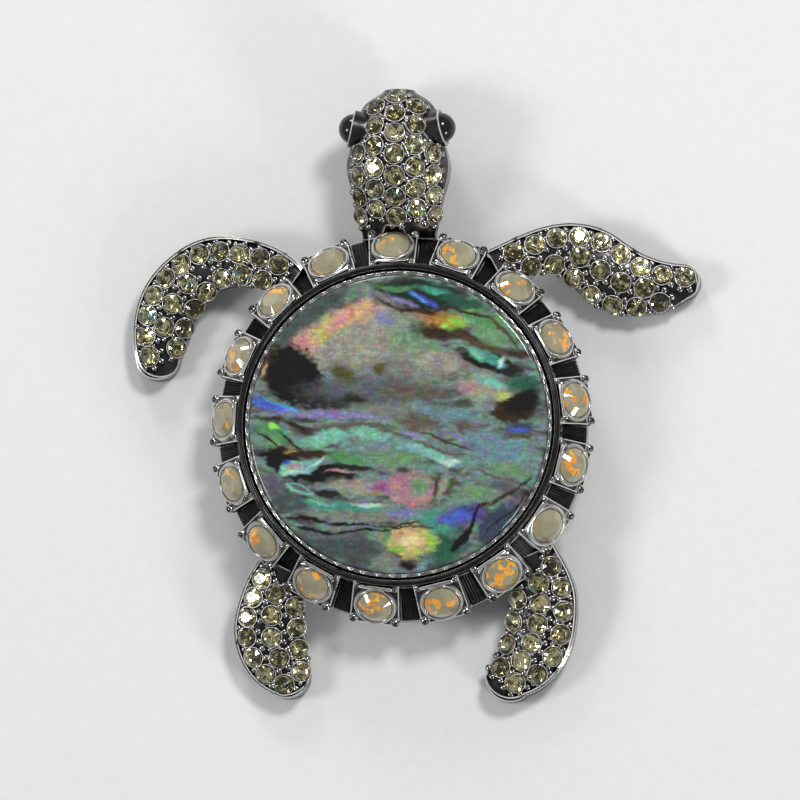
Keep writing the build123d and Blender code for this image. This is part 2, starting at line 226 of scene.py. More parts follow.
def finished(piece, name):
    """Back to object mode with the piece's place in its mesh."""
    take(piece)
    bpy.ops.object.transform_apply(location=True, rotation=True, scale=True)
    piece.name = name
    piece.data.name = name
    return piece


def lay(model, places, name):
    """Copies of a modelled piece, each with its own mesh, at its places, as one piece."""
    copies = []
    for place in places:
        copy = model.copy()
        copy.data = model.data.copy()
        copy.matrix_world = place
        bpy.context.collection.objects.link(copy)
        copies.append(copy)
    take(copies[0])
    for copy in copies:
        copy.select_set(True)
    if len(copies) > 1:
        bpy.ops.object.join()
    return finished(copies[0], name)


def put_away(model):
    """Delete a model once its copies are laid."""
    bpy.data.objects.remove(model, do_unlink=True)


def mount(piece, *materials):
    """Give a piece its materials and put it on the body."""
    for material in materials:
        piece.data.materials.append(material)
    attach(piece, "root")


def place_on(point, normal, along=Vector((1, 0, 0)), size=1.0):
    """A place at a point, its Z along a normal and its X as near as can be to a direction."""
    up = normal.normalized()
    side = (along - up * along.dot(up)).normalized()
    turn = Matrix((side, up.cross(side), up)).transposed().to_4x4()
    return Matrix.Translation(point) @ turn @ Matrix.Diagonal((size, size, size, 1))


def round_shell(turn, reach, height):
    """A point round the cabochon's middle."""
    return Vector((shell_x + reach * cos(turn), shell_y + reach * sin(turn), height))


def tangent(turn):
    """The direction along a circle at a turn from +X."""
    return Vector((-sin(turn), cos(turn), 0))


def rim_radius(turn):
    """The oval rim's radius at a turn from +X."""
    diagonal = hypot(rim_half_length * cos(turn), rim_half_width * sin(turn))
    return rim_half_width * rim_half_length / diagonal


def slope_point(turn, share):
    """A point on the rim's slope: share 0 is at the ring and 1 at the foot."""
    reach = ring_radius + (rim_radius(turn) - ring_radius) * share
    return round_shell(turn, reach, slope_top_z - rim_fall * share)


def box_places():
    """A place on the slope for each box: X along the rim, Y towards the disc."""
    places = []
    for i in range(box_count):
        turn = radians(first_box_angle + i * box_step)
        tilt = atan2(rim_fall, rim_radius(turn) - ring_radius)
        back = box_outer_length + box_inset
        reach = rim_radius(turn) - back * cos(tilt)
        point = round_shell(turn, reach, slope_foot_z + back * sin(tilt))
        normal = Vector((cos(turn) * sin(tilt), sin(turn) * sin(tilt), cos(tilt)))
        places.append(place_on(point, normal, tangent(turn)))
    return places


def box_inner_length(place):
    """How far a box reaches up the slope."""
    top = place @ Vector((0, 0, box_rise))
    reach = hypot(top.x - shell_x, top.y - shell_y) - ring_radius + box_bury
    return reach / place.col[2].z


def islands(name):
    """The corner points of each loose solid of a CAD node."""
    copy = bpy.data.objects.new("scratch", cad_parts[name].data.copy())
    bpy.context.collection.objects.link(copy)
    edit(copy)
    bpy.ops.mesh.select_all(action="SELECT")
    bpy.ops.mesh.remove_doubles(threshold=0.002 * MM)
    bpy.ops.mesh.separate(type="LOOSE")
    bpy.ops.object.mode_set(mode="OBJECT")
    parts = list(bpy.context.selected_objects)
    found = [np.array([v.co[:] for v in part.data.vertices]) for part in parts]
    for part in parts:
        put_away(part)
    return sorted(found, key=lambda points: tuple(points.mean(axis=0)))


def stone_place(points):
    """Where a cut stone's table is, with Z out of it and X towards one of its corners."""
    middle = points.mean(axis=0)
    directions = np.linalg.eigh(np.cov((points - middle).T))[1]
    axis = directions[:, 0] * (1 if directions[2, 0] > 0 else -1)
    heights = (points - middle) @ axis
    table = points[heights > heights.max() - 0.01 * MM]
    centre = Vector(table.mean(axis=0))
    return place_on(centre, Vector(axis), Vector(table[0]) - centre)


def cut_stone(radius, crown, girdle, pavilion, sides, facet):
    """A cut stone with its table at the origin: table, crown facets, girdle and pavilion."""
    middle = -crown - girdle / 2
    bpy.ops.mesh.primitive_cylinder_add(
        vertices=sides, radius=radius, depth=girdle, end_fill_type="NGON", location=(0, 0, middle)
    )
    stone = bpy.context.object
    edit(stone)
    pick(stone, "polygons", faces_up)
    draw_out(crown, table_share)
    pick(stone, "polygons", faces_down)
    draw_out(-pavilion, culet_share)
    bpy.ops.object.mode_set(mode="OBJECT")
    heights = [v.co.z for v in stone.data.vertices]

    def runs_up_the_crown(edge):
        climb = abs(heights[edge.vertices[0]] - heights[edge.vertices[1]])
        return abs(climb - crown) < 0.001 * MM

    pick(stone, "edges", runs_up_the_crown)
    bpy.ops.mesh.bevel(offset=facet, offset_type="OFFSET", segments=1, affect="EDGES")
    return finished(stone, "cut_stone")


def bead(radius, rings=6, segments=12):
    """A small ball, a little flattened on top where it is worn."""
    bpy.ops.mesh.primitive_uv_sphere_add(segments=segments, ring_count=rings, radius=radius)
    ball = bpy.context.object
    edit(ball)
    pick(ball, "vertices", lambda v: v.co.z > bead_worn_from * radius)
    bpy.ops.transform.resize(value=bead_worn_size, center_override=(0, 0, 0))
    bpy.ops.object.mode_set(mode="OBJECT")
    bpy.ops.object.shade_smooth()
    return ball


def wire_ring(radius, wire, segments, sides):
    """A round ring of wire that lies flat."""
    bpy.ops.mesh.primitive_torus_add(
        major_radius=radius, minor_radius=wire, major_segments=segments, minor_segments=sides
    )
    bpy.ops.object.shade_smooth()
    return bpy.context.object


def rounded_bar(size):
    """A bar along X with rounded ends and edges."""
    bpy.ops.mesh.primitive_cube_add(size=1)
    bar = bpy.context.object
    bar.scale = size
    bpy.ops.object.transform_apply(scale=True)
    bevel = bar.modifiers.new("round", "BEVEL")
    bevel.width = min(size) * bar_rounding
    bevel.segments = 3
    bpy.ops.object.modifier_apply(modifier="round")
    bpy.ops.object.shade_smooth()
    return bar


# Building finishes


def feed(tree, node, inputs):
    """Give each input of a node its value, or the output that feeds it."""
    for key, value in inputs.items():
        if isinstance(value, bpy.types.NodeSocket):
            tree.links.new(value, node.inputs[key])
        else:
            node.inputs[key].default_value = value


def add(tree, kind, inputs=None, **settings):
    """A node with its settings and its inputs."""
    made = tree.nodes.new(kind)
    for key, value in settings.items():
        setattr(made, key, value)
    feed(tree, made, inputs or {})
    return made


def object_place(tree):
    """The piece's own coordinates."""
    return add(tree, "ShaderNodeTexCoord").outputs["Object"]


def noise_map(tree, place, scale, detail, roughness=0.5):
    """A noise texture over a place."""
    inputs = {"Vector": place, "Scale": scale, "Detail": detail, "Roughness": roughness}
    return add(tree, "ShaderNodeTexNoise", inputs).outputs


def cell_map(tree, place, scale, **settings):
    """A texture of cells over a place."""
    inputs = {"Vector": place, "Scale": scale}
    return add(tree, "ShaderNodeTexVoronoi", inputs, **settings).outputs


def channels(tree, colour):
    """The red, green and blue of a colour."""
    return add(tree, "ShaderNodeSeparateColor", {"Color": colour}).outputs


def blend(tree, factor, first, second, mode="MIX"):
    """The output of a colour mix."""
    inputs = {0: factor, 6: first, 7: second}
    return add(tree, "ShaderNodeMix", inputs, data_type="RGBA", blend_type=mode).outputs[2]


def maths(tree, operation, first, second, clamp=False):
    """The output of a math node."""
    inputs = {0: first, 1: second}
    return add(tree, "ShaderNodeMath", inputs, operation=operation, use_clamp=clamp).outputs[0]


def vector_maths(tree, operation, first, second):
    """The outputs of a vector math node."""
    return add(tree, "ShaderNodeVectorMath", {0: first, 1: second}, operation=operation).outputs


def spread(tree, value, taken, given=(0.0, 1.0)):
    """A value brought smoothly from one range to another."""
    inputs = {
        "Value": value,
        "From Min": taken[0],
        "From Max": taken[1],
        "To Min": given[0],
        "To Max": given[1],
    }
    return add(tree, "ShaderNodeMapRange", inputs, interpolation_type="SMOOTHSTEP").outputs[0]


def relief(tree, height, distance, strength):
    """The normal of a bumpy surface."""
    inputs = {"Height": height, "Distance": distance, "Strength": strength}
    return add(tree, "ShaderNodeBump", inputs).outputs["Normal"]


def new_group(name, takes, gives):
    """An empty node group with named sockets, and its input and output nodes."""
    group = bpy.data.node_groups.new(name, "ShaderNodeTree")
    for label, kind, value in takes:
        socket = group.interface.new_socket(label, in_out="INPUT", socket_type=kind)
        socket.default_value = value
    for label, kind in gives:
        group.interface.new_socket(label, in_out="OUTPUT", socket_type=kind)
    return group, group.nodes.new("NodeGroupInput"), group.nodes.new("NodeGroupOutput")


def new_material(name):
    """A material and its tree."""
    material = bpy.data.materials.new(name)
    material.use_nodes = True
    return material, material.node_tree


def shade(material, inputs):
    """A material with its shader's inputs fed."""
    feed(material.node_tree, material.node_tree.nodes["Principled BSDF"], inputs)
    return material


# Metal


def aged_metal_group():
    """Dark grime and painted shade in the hollows, wear and a painted highlight on the edges, and
    fine casting marks.
    """
    takes = [
        ("Body", "NodeSocketColor", (0.1, 0.1, 0.1, 1)),
        ("Grime And Shade", "NodeSocketColor", (0.01, 0.01, 0.01, 1)),
        ("Worn And Highlight", "NodeSocketColor", (0.7, 0.7, 0.7, 1)),
        ("Edge Width", "NodeSocketFloat", 0.0001),
        ("Hollow Depth", "NodeSocketFloat", 0.0005),
        ("Body Roughness", "NodeSocketFloat", 0.3),
    ]
    gives = [
        ("Colour", "NodeSocketColor"),
        ("Roughness", "NodeSocketFloat"),
        ("Metal", "NodeSocketFloat"),
        ("Height", "NodeSocketFloat"),
    ]
    # How much the noise tells in the dirt and painted shade and in the roughness, how much
    # rougher the dirt and shade are and how much smoother an edge, how much of the body stays
    # unstained, and how the two noises share the height
    noise_in_dirt_and_shade = 0.35
    noise_in_roughness = 0.3
    dirt_and_shade_roughness = 0.35
    edge_polish = 0.15
    unstained = 0.35
    uneven_height = 0.6
    grain_height = 0.4
    group, taken, given = new_group("aged_metal", takes, gives)
    values = taken.outputs
    place = object_place(group)
    uneven = noise_map(group, place, scale=900.0, detail=5.0, roughness=0.6)[0]
    grains = noise_map(group, place, scale=6000.0, detail=3.0)[0]

    # An edge is where the rounded normal turns away from the real one
    rounded = add(group, "ShaderNodeBevel", {"Radius": values["Edge Width"]}, samples=6)
    surface = add(group, "ShaderNodeNewGeometry")
    match = vector_maths(
        group, "DOT_PRODUCT", rounded.outputs["Normal"], surface.outputs["Normal"]
    )["Value"]
    inputs = {"Distance": values["Hollow Depth"]}
    openness = add(group, "ShaderNodeAmbientOcclusion", inputs, samples=8).outputs["AO"]
    # The edges are partly real wear and partly a painted highlight: paler, smoother and less
    # metallic where the rounded normal turns away, for the light an edge catches
    edge = spread(group, maths(group, "SUBTRACT", 1.0, match), (0.01, 0.045))
    edge = maths(group, "MULTIPLY", edge, spread(group, openness, (0.4, 0.7)))
    edge = maths(group, "MULTIPLY", edge, spread(group, uneven, (0.28, 0.42)))
    # Dirt and painted shade: darker where the occlusion finds hollows and parts close by, such as
    # the stones, partly the metal's patina and partly painted shade, with some noise
    dirt_and_shade = maths(group, "ADD", openness, maths(group, "MULTIPLY", uneven, noise_in_dirt_and_shade))
    dirt_and_shade = spread(group, dirt_and_shade, (1.05, 0.62))

    stained = spread(group, uneven, (0.35, 0.7))
    body = blend(group, stained, values["Body"], values["Grime And Shade"])
    body = blend(group, unstained, body, values["Body"])
    colour = blend(group, dirt_and_shade, body, values["Grime And Shade"])
    colour = blend(group, edge, colour, values["Worn And Highlight"])

    clouded = maths(group, "SUBTRACT", uneven, 0.5)
    clouded = maths(group, "MULTIPLY", clouded, noise_in_roughness)
    rough = maths(group, "MULTIPLY", dirt_and_shade, dirt_and_shade_roughness)
    rough = maths(group, "ADD", values["Body Roughness"], rough)
    rough = maths(group, "ADD", rough, clouded)
    polish = maths(group, "MULTIPLY", edge, edge_polish)
    height = maths(group, "MULTIPLY", uneven, uneven_height)
    fine_height = maths(group, "MULTIPLY", grains, grain_height)
    results = {
        "Colour": colour,
        "Roughness": maths(group, "SUBTRACT", rough, polish, clamp=True),
        # Less metallic on the edges, so that the painted highlight shows as a pale line
        "Metal": spread(group, edge, (0.3, 1.0), (1.0, 0.25)),
        "Height": maths(group, "ADD", height, fine_height),
    }
    feed(group, given, results)
    return group


aged_metal = aged_metal_group()


def metal_finish(name, body, grime_and_shade, worn_and_highlight, roughness, edge_width, hollow_depth, bump):
    """One finish of the dark metal. Its grime colour is also painted shade in the hollows, and
    its worn colour also a painted highlight on the edges.
    """
    material, tree = new_material(name)
    values = {
        "Body": body,
        "Grime And Shade": grime_and_shade,
        "Worn And Highlight": worn_and_highlight,
        "Edge Width": edge_width,
        "Hollow Depth": hollow_depth,
        "Body Roughness": roughness,
    }
    aged = add(tree, "ShaderNodeGroup", values, node_tree=aged_metal).outputs
    inputs = {
        "Base Color": aged["Colour"],
        "Roughness": aged["Roughness"],
        "Metallic": aged["Metal"],
        "Normal": relief(tree, aged["Height"], bump, 0.6),
    }
    return shade(material, inputs)


casting_metal = metal_finish(
    "antiqued_casting",
    body=(0.10, 0.098, 0.094, 1),
    grime_and_shade=(0.006, 0.006, 0.007, 1),
    worn_and_highlight=(0.95, 0.94, 0.9, 1),
    roughness=0.22,
    edge_width=0.2 * MM,
    hollow_depth=0.7 * MM,
    bump=0.035 * MM,
)
# A darker copy of the casting's metal, for the ribs in the channels and for the ring
channel_metal = metal_finish(
    "darker_channel_metal",
    body=(0.045, 0.044, 0.042, 1),
    grime_and_shade=(0.005, 0.005, 0.006, 1),
    worn_and_highlight=(0.34, 0.33, 0.31, 1),
    roughness=0.34,
    edge_width=0.05 * MM,
    hollow_depth=0.7 * MM,
    bump=0.012 * MM,
)
polished_metal = metal_finish(
    "polished_trim",
    body=(0.88, 0.87, 0.84, 1),
    grime_and_shade=(0.06, 0.06, 0.055, 1),
    worn_and_highlight=(1.0, 0.99, 0.96, 1),
    roughness=0.12,
    edge_width=0.12 * MM,
    hollow_depth=0.06 * MM,
    bump=0.003 * MM,
)
bright_metal = metal_finish(
    "worn_trim",
    body=(0.42, 0.41, 0.39, 1),
    grime_and_shade=(0.05, 0.05, 0.047, 1),
    worn_and_highlight=(0.97, 0.96, 0.93, 1),
    roughness=0.16,
    edge_width=0.12 * MM,
    hollow_depth=0.2 * MM,
    bump=0.006 * MM,
)
pin_metal = metal_finish(
    "pin_steel",
    body=(0.3, 0.3, 0.31, 1),
    grime_and_shade=(0.05, 0.05, 0.05, 1),
    worn_and_highlight=(0.7, 0.7, 0.7, 1),
    roughness=0.35,
    edge_width=0.12 * MM,
    hollow_depth=1.0 * MM,
    bump=0.008 * MM,
)

# Stones


def milky_finish():
    """Milky stone with angular amber glints inside it."""
    milk = (0.27, 0.245, 0.15, 1), (0.36, 0.33, 0.215, 1)
    amber = (0.72, 0.26, 0.02, 1), (0.9, 0.45, 0.06, 1)
    material, tree = new_material("milky_opal")
    place = object_place(tree)
    clouds = noise_map(tree, place, scale=700.0, detail=4.0)[0]
    regions = noise_map(tree, place, scale=620.0, detail=1.0)[0]
    shards = cell_map(tree, place, scale=2300.0, distance="MANHATTAN")
    chance, warmth, _ = channels(tree, shards["Color"])
    glint = spread(tree, chance, (0.5, 0.55))
    glint = maths(tree, "MULTIPLY", glint, spread(tree, regions, (0.5, 0.56)))
    colour = blend(tree, spread(tree, clouds, (0.3, 0.7)), *milk)
    inputs = {
        "Base Color": blend(tree, glint, colour, blend(tree, warmth, *amber)),
        "Roughness": spread(tree, clouds, (0.3, 0.7), (0.05, 0.12)),
        "Coat Weight": 1.0,
        "Coat Roughness": 0.03,
        "IOR": 1.55,
        "Subsurface Weight": 0.5,
        "Subsurface Scale": 0.6 * MM,
        "Subsurface Radius": (1.0, 0.8, 0.5),
    }
    return shade(material, inputs)


def smoke_crown_finish():
    """Clear smoke-grey glass, a little uneven."""
    smoke = (0.92, 0.89, 0.70, 1), (1.0, 0.98, 0.89, 1)
    material, tree = new_material("smoke_glass")
    place = object_place(tree)
    tone = channels(tree, cell_map(tree, place, scale=640.0)["Color"])[0]
    film = noise_map(tree, place, scale=2500.0, detail=3.0)[0]
    inputs = {
        "Base Color": blend(tree, tone, *smoke),
        "Roughness": spread(tree, film, (0.4, 0.7), (0.02, 0.09)),
        "Transmission Weight": 1.0,
        "IOR": 1.6,
    }
    return shade(material, inputs)


def foil_finish():
    """The foiled underside of the small stones, that mirrors light back through them."""
    foil_painted_flashes = (0.13, 0.115, 0.055, 1), (1.0, 0.96, 0.74, 1)
    blue_spark = (0.35, 0.75, 0.9, 1)
    material, tree = new_material("smoke_foil")
    sparks = cell_map(tree, object_place(tree), scale=2600.0)
    tone, chance, polish = channels(tree, sparks["Color"])
    # Painted facet light: the foil's cells are painted dark and bright, as the shade and flashes
    # of its facets, and a few as blue glints
    colour = blend(tree, spread(tree, tone, (0.25, 0.55)), *foil_painted_flashes)
    inputs = {
        "Base Color": blend(tree, spread(tree, chance, (0.975, 0.985)), colour, blue_spark),
        "Roughness": spread(tree, polish, (0.0, 1.0), (0.05, 0.2)),
        "Metallic": 1.0,
    }
    return shade(material, inputs)


def black_finish():
    """Glossy black glass with a faint cloudiness."""
    black = (0.003, 0.003, 0.004, 1), (0.02, 0.02, 0.024, 1)
    material, tree = new_material("black_glass")
    haze = noise_map(tree, object_place(tree), scale=1500.0, detail=5.0)[0]
    inputs = {
        "Base Color": blend(tree, haze, *black),
        "Roughness": spread(tree, haze, (0.3, 0.8), (0.03, 0.14)),
        "Specular IOR Level": 0.3,
        "Coat Weight": 0.15,
        "Coat Roughness": 0.03,
    }
    return shade(material, inputs)


milky_opal = milky_finish()
smoke_glass = smoke_crown_finish()
smoke_foil = foil_finish()
black_glass = black_finish()

# Shell

# The cabochon's shades of shell, as they look on screen from 0 to 255
tints = {
    "black": (20, 18, 18),
    "soot": (38, 35, 34),
    "umber": (56, 40, 26),
    "brown": (80, 68, 52),
    "taupe": (98, 90, 82),
    "olive": (80, 80, 42),
    "moss": (60, 68, 48),
    "deep_green": (25, 48, 38),
    "bottle": (42, 88, 68),
    "leaf_green": (85, 138, 90),
    "sage": (110, 145, 110),
    "lime": (140, 195, 75),
    "bright_lime": (165, 250, 95),
    "teal": (72, 150, 128),
    "pale_teal": (122, 182, 165),
    "cyan": (70, 165, 210),
    "ice": (185, 222, 212),
    "blue": (75, 95, 195),
    "bright_blue": (112, 152, 255),
    "violet": (82, 72, 145),
    "lilac": (130, 126, 172),
    "mauve": (155, 90, 148),
    "rose": (175, 130, 138),
    "pink": (208, 148, 140),
    "apricot": (206, 164, 124),
    "amber": (175, 130, 58),
    "straw": (188, 182, 108),
    "cream": (238, 216, 155),
    "pearl": (152, 152, 136),
    "stone": (124, 128, 120),
    "ash": (92, 94, 102),
    "slate": (72, 82, 80),
    "dusk": (60, 68, 88),
    "sea": (108, 140, 148),
}

# The patches from the lowest layer up. Places and half sizes are millimetres from
# the disc's middle, the turn is in degrees, and softness is the width of the edge.
patches = [
    # tint, across, up, half length, half width, turn, softness
    ("slate", -6.3, 9.8, 3.6, 0.9, 40, 0.5),
    ("slate", -8.9, 7.8, 1.8, 0.7, 55, 0.5),
    ("pearl", -2.3, 7.3, 4.4, 2.4, 4, 0.4),
    ("pearl", -6.6, 6.0, 1.8, 1.0, -40, 0.5),
    ("pink", -7.6, 6.9, 1.4, 0.9, 35, 0.6),
    ("straw", -5.9, 7.9, 1.3, 0.8, 35, 0.6),
    ("apricot", -3.7, 9.1, 2.0, 0.7, 22, 0.6),
    ("apricot", -2.2, 9.6, 0.8, 0.35, 0, 0.6),
    ("pink", -4.6, 8.5, 0.9, 0.4, 30, 0.7),
    ("lilac", -1.2, 8.9, 0.9, 0.5, -30, 0.6),
    ("pink", -8.1, 6.7, 0.6, 0.45, 20, 0.6),
    ("sage", 1.2, 7.2, 1.8, 1.3, 0, 0.7),
    ("stone", 0.4, 4.2, 3.6, 0.9, 0, 0.5),
    ("pearl", 3.1, 5.3, 2.6, 0.9, -8, 0.6),
    ("deep_green", 1.7, 10.7, 3.8, 1.4, -12, 0.2),
    ("stone", -1.6, 10.6, 2.1, 0.45, -25, 0.3),
    ("umber", -0.2, 10.6, 1.9, 0.16, -32, 0.4),
    ("lilac", 0.3, 10.3, 1.4, 0.2, -34, 0.5),
    ("bright_blue", 1.6, 10.5, 0.9, 0.2, -35, 0.5),
    ("blue", 2.6, 10.1, 1.2, 0.18, -32, 0.5),
    ("teal", 2.9, 11.1, 1.4, 0.25, -15, 0.5),
    ("leaf_green", -0.3, 11.5, 1.5, 0.25, -6, 0.5),
    ("bottle", 5.6, 10.0, 2.0, 0.55, -16, 0.4),
    ("lime", 5.7, 9.6, 0.4, 0.12, 0, 0.6),
    ("amber", 3.8, 8.6, 2.0, 0.6, -8, 0.5),
    ("lime", 5.2, 8.4, 1.0, 0.4, -10, 0.6),
    ("sage", 7.8, 7.9, 2.4, 1.2, -38, 0.3),
    ("leaf_green", 7.1, 8.8, 1.7, 0.6, -20, 0.5),
    ("umber", 3.1, 7.8, 1.8, 0.5, -12, 0.5),
    ("bright_lime", 4.5, 7.8, 0.45, 0.2, -20, 0.7),
    ("bright_lime", 4.0, 8.2, 0.3, 0.12, 0, 0.7),
    ("umber", 5.7, 7.2, 2.0, 0.35, -20, 0.5),
    ("brown", 7.3, 6.4, 2.3, 0.25, -22, 0.5),
    ("umber", -0.6, 9.9, 1.5, 0.16, -28, 0.4),
    ("umber", 1.7, 9.3, 1.8, 0.2, -5, 0.4),
    ("umber", 3.9, 9.5, 1.1, 0.16, 15, 0.4),
    ("umber", 6.2, 9.3, 1.9, 0.16, -12, 0.4),
    ("brown", 9.1, 7.4, 2.4, 0.15, -50, 0.4),
    ("soot", 7.7, 5.1, 3.0, 0.75, -20, 0.15),
    ("teal", 7.2, 5.55, 2.0, 0.5, -25, 0.2),
    ("pale_teal", 6.4, 5.9, 0.9, 0.3, -28, 0.4),
    ("ice", 8.6, 5.0, 0.5, 0.2, 45, 0.5),
    ("black", 7.2, 4.75, 1.8, 0.22, -24, 0.3),
    ("pearl", 7.1, 2.9, 2.2, 1.1, -10, 0.5),
    ("pale_teal", 7.9, 3.3, 1.2, 0.4, -12, 0.6),
    ("rose", 5.9, 3.0, 0.8, 0.5, 20, 0.6),
    ("bottle", 10.5, 3.3, 1.6, 0.6, -10, 0.5),
    ("straw", 9.2, 2.1, 0.8, 0.5, -20, 0.6),
    ("umber", 9.7, 1.1, 2.0, 1.2, 20, 0.15),
    ("black", 10.3, 1.7, 1.5, 0.9, 30, 0.3),
    ("brown", 10.1, -1.3, 1.6, 0.2, 6, 0.4),
    ("dusk", 10.4, -0.5, 1.3, 0.6, 10, 0.3),
    ("blue", 10.3, -0.7, 0.8, 0.2, 10, 0.6),
    ("brown", -10.6, 5.2, 1.3, 1.7, -25, 0.3),
    ("black", -8.7, 4.3, 2.5, 2.2, -50, 0.12),
    ("black", -7.4, 2.9, 2.0, 1.2, -40, 0.25),
    ("soot", -6.4, 2.2, 2.3, 0.9, -20, 0.4),
    ("taupe", -10.4, 2.55, 1.0, 0.08, -22, 0.4),
    ("apricot", -11.2, 4.6, 0.5, 0.12, 70, 0.5),
    ("ash", -2.1, 2.7, 4.8, 1.2, -3, 0.5),
    ("olive", -4.6, 4.4, 0.9, 0.7, -30, 0.5),
    ("olive", -1.5, 4.5, 0.6, 0.45, 0, 0.6),
    ("taupe", 1.4, 2.6, 2.7, 0.7, -4, 0.5),
    ("soot", -3.6, 1.9, 1.0, 0.45, 0, 0.7),
    ("sea", 3.8, 0.7, 2.8, 0.6, -8, 0.5),
    ("stone", -1.0, 1.1, 2.4, 0.7, 0, 0.5),
    ("violet", -11.4, 1.9, 0.9, 0.5, 0, 0.4),
    ("blue", -10.2, 1.6, 2.3, 0.35, -9, 0.3),
    ("cyan", -9.9, 1.85, 1.4, 0.13, -14, 0.5),
    ("bright_blue", -9.0, 1.4, 0.8, 0.12, -8, 0.6),
    ("lilac", -5.8, 0.8, 4.4, 0.35, -3, 0.4),
    ("taupe", 1.8, 0.0, 1.9, 0.5, -14, 0.6),
    ("taupe", 5.9, -0.4, 1.2, 0.45, -14, 0.6),
    ("sea", 8.4, -2.6, 3.0, 1.3, -8, 0.5),
    ("sage", 9.3, -4.0, 2.0, 0.5, -8, 0.6),
    ("sea", 7.1, -1.4, 1.7, 0.6, -10, 0.5),
    ("umber", -10.8, 0.65, 1.4, 0.13, -6, 0.4),
    ("umber", -8.2, -0.15, 1.9, 0.22, -18, 0.4),
    ("taupe", -4.3, -0.2, 2.4, 0.25, 4, 0.5),
    ("leaf_green", -10.6, -0.5, 1.6, 0.6, -22, 0.3),
    ("bright_lime", -10.6, -0.1, 0.5, 0.18, -20, 0.6),
    ("teal", -9.6, -0.6, 0.5, 0.2, -30, 0.6),
    ("sage", -10.2, -1.95, 1.6, 0.65, -35, 0.3),
    ("ice", -9.5, -2.8, 0.7, 0.2, -35, 0.5),
    ("black", -11.0, -1.2, 1.3, 0.1, -38, 0.4),
    ("umber", -8.9, -1.3, 1.4, 0.12, -30, 0.4),
    ("pale_teal", -5.8, -1.1, 1.9, 0.6, 3, 0.3),
    ("pale_teal", -2.3, -0.9, 1.7, 0.5, -8, 0.3),
    ("leaf_green", -4.6, -2.8, 2.0, 0.55, -6, 0.3),
    ("sage", -0.6, -2.9, 2.5, 0.55, -4, 0.3),
    ("pale_teal", 2.1, -2.3, 2.3, 0.45, -14, 0.4),
    ("ice", 4.1, -3.0, 0.9, 0.25, 0, 0.5),
    ("lilac", 1.3, -0.9, 1.2, 0.15, -25, 0.5),
    ("lilac", 4.8, -1.2, 1.0, 0.15, -25, 0.5),
    ("taupe", -0.2, -0.6, 1.6, 0.1, -22, 0.4),
    ("taupe", 3.5, -2.1, 2.9, 0.1, -18, 0.4),
    ("brown", 3.8, -1.5, 2.6, 0.1, -22, 0.4),
    ("taupe", 8.5, -4.6, 3.0, 0.12, -16, 0.4),
    ("black", -9.2, -3.2, 2.5, 1.1, -25, 0.12),
    ("umber", -7.6, -2.3, 1.9, 0.4, -8, 0.3),
    ("black", -6.5, -4.1, 2.8, 0.7, -3, 0.15),
    ("soot", -3.7, -3.6, 2.0, 0.25, -6, 0.4),
    ("pale_teal", -8.5, -3.5, 1.6, 0.65, 8, 0.2),
    ("ice", -8.9, -3.9, 1.0, 0.15, 2, 0.6),
    ("rose", -8.6, -3.4, 0.5, 0.3, 0, 0.6),
    ("blue", -9.3, -3.0, 0.4, 0.2, 0, 0.6),
    ("ice", -7.0, -3.2, 0.9, 0.1, 28, 0.5),
    ("rose", -5.0, -4.0, 1.2, 0.12, 4, 0.5),
    ("amber", -8.9, -2.1, 0.7, 0.1, 15, 0.5),
    ("ash", -9.8, -5.5, 2.3, 1.0, -38, 0.3),
    ("pale_teal", -8.2, -5.4, 1.2, 0.45, -22, 0.15),
    ("ash", -8.2, -5.35, 0.8, 0.25, -22, 0.3),
    ("pearl", -3.6, -5.2, 2.0, 0.6, -4, 0.5),
    ("soot", -6.0, -5.7, 1.1, 0.35, -12, 0.3),
    ("mauve", -1.0, -5.2, 1.1, 0.5, 20, 0.5),
    ("rose", 1.1, -5.5, 2.2, 1.4, -12, 0.2),
    ("sage", 1.8, -5.2, 1.0, 0.7, 0, 0.6),
    ("brown", 3.3, -5.3, 0.16, 1.1, -6, 0.5),
    ("pearl", 3.8, -5.2, 0.25, 1.1, -8, 0.5),
    ("olive", 4.5, -5.1, 0.2, 1.0, -12, 0.5),
    ("amber", -1.6, -5.9, 0.4, 0.12, 0, 0.6),
    ("sage", 6.3, -5.8, 1.5, 0.8, 0, 0.6),
    ("ash", 8.7, -5.4, 1.3, 0.4, -20, 0.6),
    ("slate", -8.8, -6.6, 1.7, 0.7, -25, 0.5),
    ("teal", -4.6, -6.8, 3.4, 0.35, -3, 0.4),
    ("ice", -2.4, -6.6, 1.3, 0.12, -2, 0.5),
    ("pale_teal", -6.3, -6.6, 0.9, 0.15, -10, 0.5),
    ("stone", -3.8, -7.6, 3.8, 0.45, 0, 0.4),
    ("lilac", 0.8, -7.5, 1.4, 0.25, -12, 0.5),
    ("teal", 3.4, -8.2, 1.6, 1.0, -10, 0.5),
    ("violet", 5.6, -7.8, 2.0, 0.8, 2, 0.4),
    ("blue", 4.9, -7.9, 1.0, 0.4, 0, 0.7),
    ("slate", -5.0, -10.2, 3.8, 1.2, -12, 0.3),
    ("ash", -5.4, -9.3, 2.6, 0.35, -4, 0.5),
    ("bottle", 3.8, -10.4, 1.8, 1.1, 10, 0.5),
    ("dusk", 8.2, -8.4, 2.4, 1.1, 45, 0.3),
    ("straw", 0.7, -9.7, 2.2, 1.4, -5, 0.2),
    ("apricot", 0.2, -9.2, 1.2, 0.5, 8, 0.6),
    ("cream", 1.0, -9.9, 0.9, 0.5, 0, 0.7),
    ("lime", -0.2, -10.6, 0.8, 0.3, 10, 0.6),
    ("sage", -1.1, -9.3, 0.4, 1.1, -15, 0.5),
    ("lime", 2.5, -10.0, 0.3, 0.7, 0, 0.6),
    ("brown", 1.8, -8.6, 1.1, 0.15, -5, 0.5),
    ("black", -7.5, -7.85, 2.1, 0.12, -5, 0.3),
    ("black", -3.6, -8.3, 2.4, 0.13, -4, 0.3),
